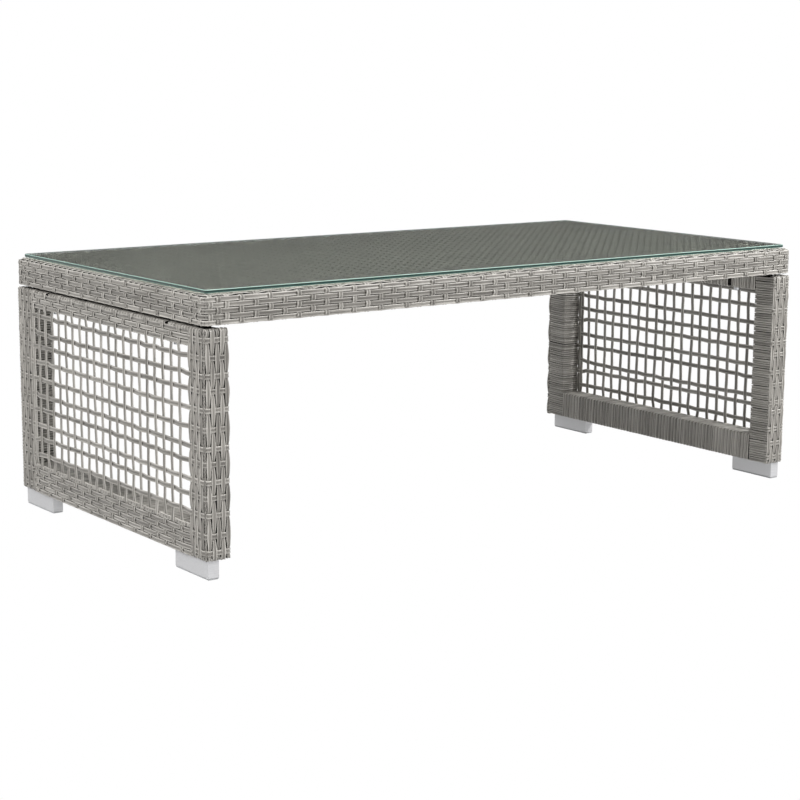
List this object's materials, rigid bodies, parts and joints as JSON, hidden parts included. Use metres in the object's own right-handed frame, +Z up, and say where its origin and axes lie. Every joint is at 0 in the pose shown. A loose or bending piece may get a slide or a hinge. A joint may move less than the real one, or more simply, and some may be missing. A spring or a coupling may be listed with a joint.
{
  "type": "wicker coffee table",
  "caption": "Rectangular garden coffee table woven from flat plastic strands over a tube frame, with open lattice end panels on metal feet and a loose glass top.",
  "frame": {"origin": "centre of the table's footprint on the floor", "axes": "+X along the table's length, +Y to the rear, +Z up"},
  "size_m": [1.2, 0.6, 0.42],
  "materials": {
    "aluminium_frame": "dark powder coat",
    "wicker": "ridged, streaked grey",
    "deck_wicker": "ridged, streaked grey",
    "glass": "clear with a green edge",
    "bumper": "clear soft plastic",
    "foot_metal": "satin silver",
    "glide": "matt",
    "bolt_steel": "zinc plated",
    "spacer": "matt"
  },
  "bodies": {
    "table": {"top_frame_front": "aluminium_frame", "top_frame_rear": "aluminium_frame", "top_frame_left": "aluminium_frame", "top_frame_right": "aluminium_frame", "top_cross_bar_left": "aluminium_frame", "top_cross_bar_middle": "aluminium_frame", "top_cross_bar_right": "aluminium_frame", "woven_apron_front": "wicker", "woven_apron_rear": "wicker", "woven_apron_left": "wicker", "woven_apron_right": "wicker", "woven_deck": "deck_wicker", "bumper_front_left": "bumper", "bumper_front_middle": "bumper", "bumper_front_right": "bumper", "bumper_rear_left": "bumper", "bumper_rear_middle": "bumper", "bumper_rear_right": "bumper", "left_top_rail": "aluminium_frame", "left_bottom_rail": "aluminium_frame", "left_weave_top_rail": "wicker", "left_weave_bottom_rail": "wicker", "left_lattice": "wicker", "left_front_post": "aluminium_frame", "left_weave_front_post": "wicker", "left_front_foot": "foot_metal", "left_front_glide": "glide", "left_front_bolt": "bolt_steel", "left_front_spacer": "spacer", "left_front_nut": "bolt_steel", "left_rear_post": "aluminium_frame", "left_weave_rear_post": "wicker", "left_rear_foot": "foot_metal", "left_rear_glide": "glide", "left_rear_bolt": "bolt_steel", "left_rear_spacer": "spacer", "left_rear_nut": "bolt_steel", "right_top_rail": "aluminium_frame", "right_bottom_rail": "aluminium_frame", "right_weave_top_rail": "wicker", "right_weave_bottom_rail": "wicker", "right_lattice": "wicker", "right_front_post": "aluminium_frame", "right_weave_front_post": "wicker", "right_front_foot": "foot_metal", "right_front_glide": "glide", "right_front_bolt": "bolt_steel", "right_front_spacer": "spacer", "right_front_nut": "bolt_steel", "right_rear_post": "aluminium_frame", "right_weave_rear_post": "wicker", "right_rear_foot": "foot_metal", "right_rear_glide": "glide", "right_rear_bolt": "bolt_steel", "right_rear_spacer": "spacer", "right_rear_nut": "bolt_steel"},
    "glass": {"glass_top": "glass"}
  },
  "joints": [
    {"name": "lift_glass", "type": "slide", "parent": "table", "child": "glass", "axis": [0, 0, 1], "range_m": [0, 0.1]}
  ]
}
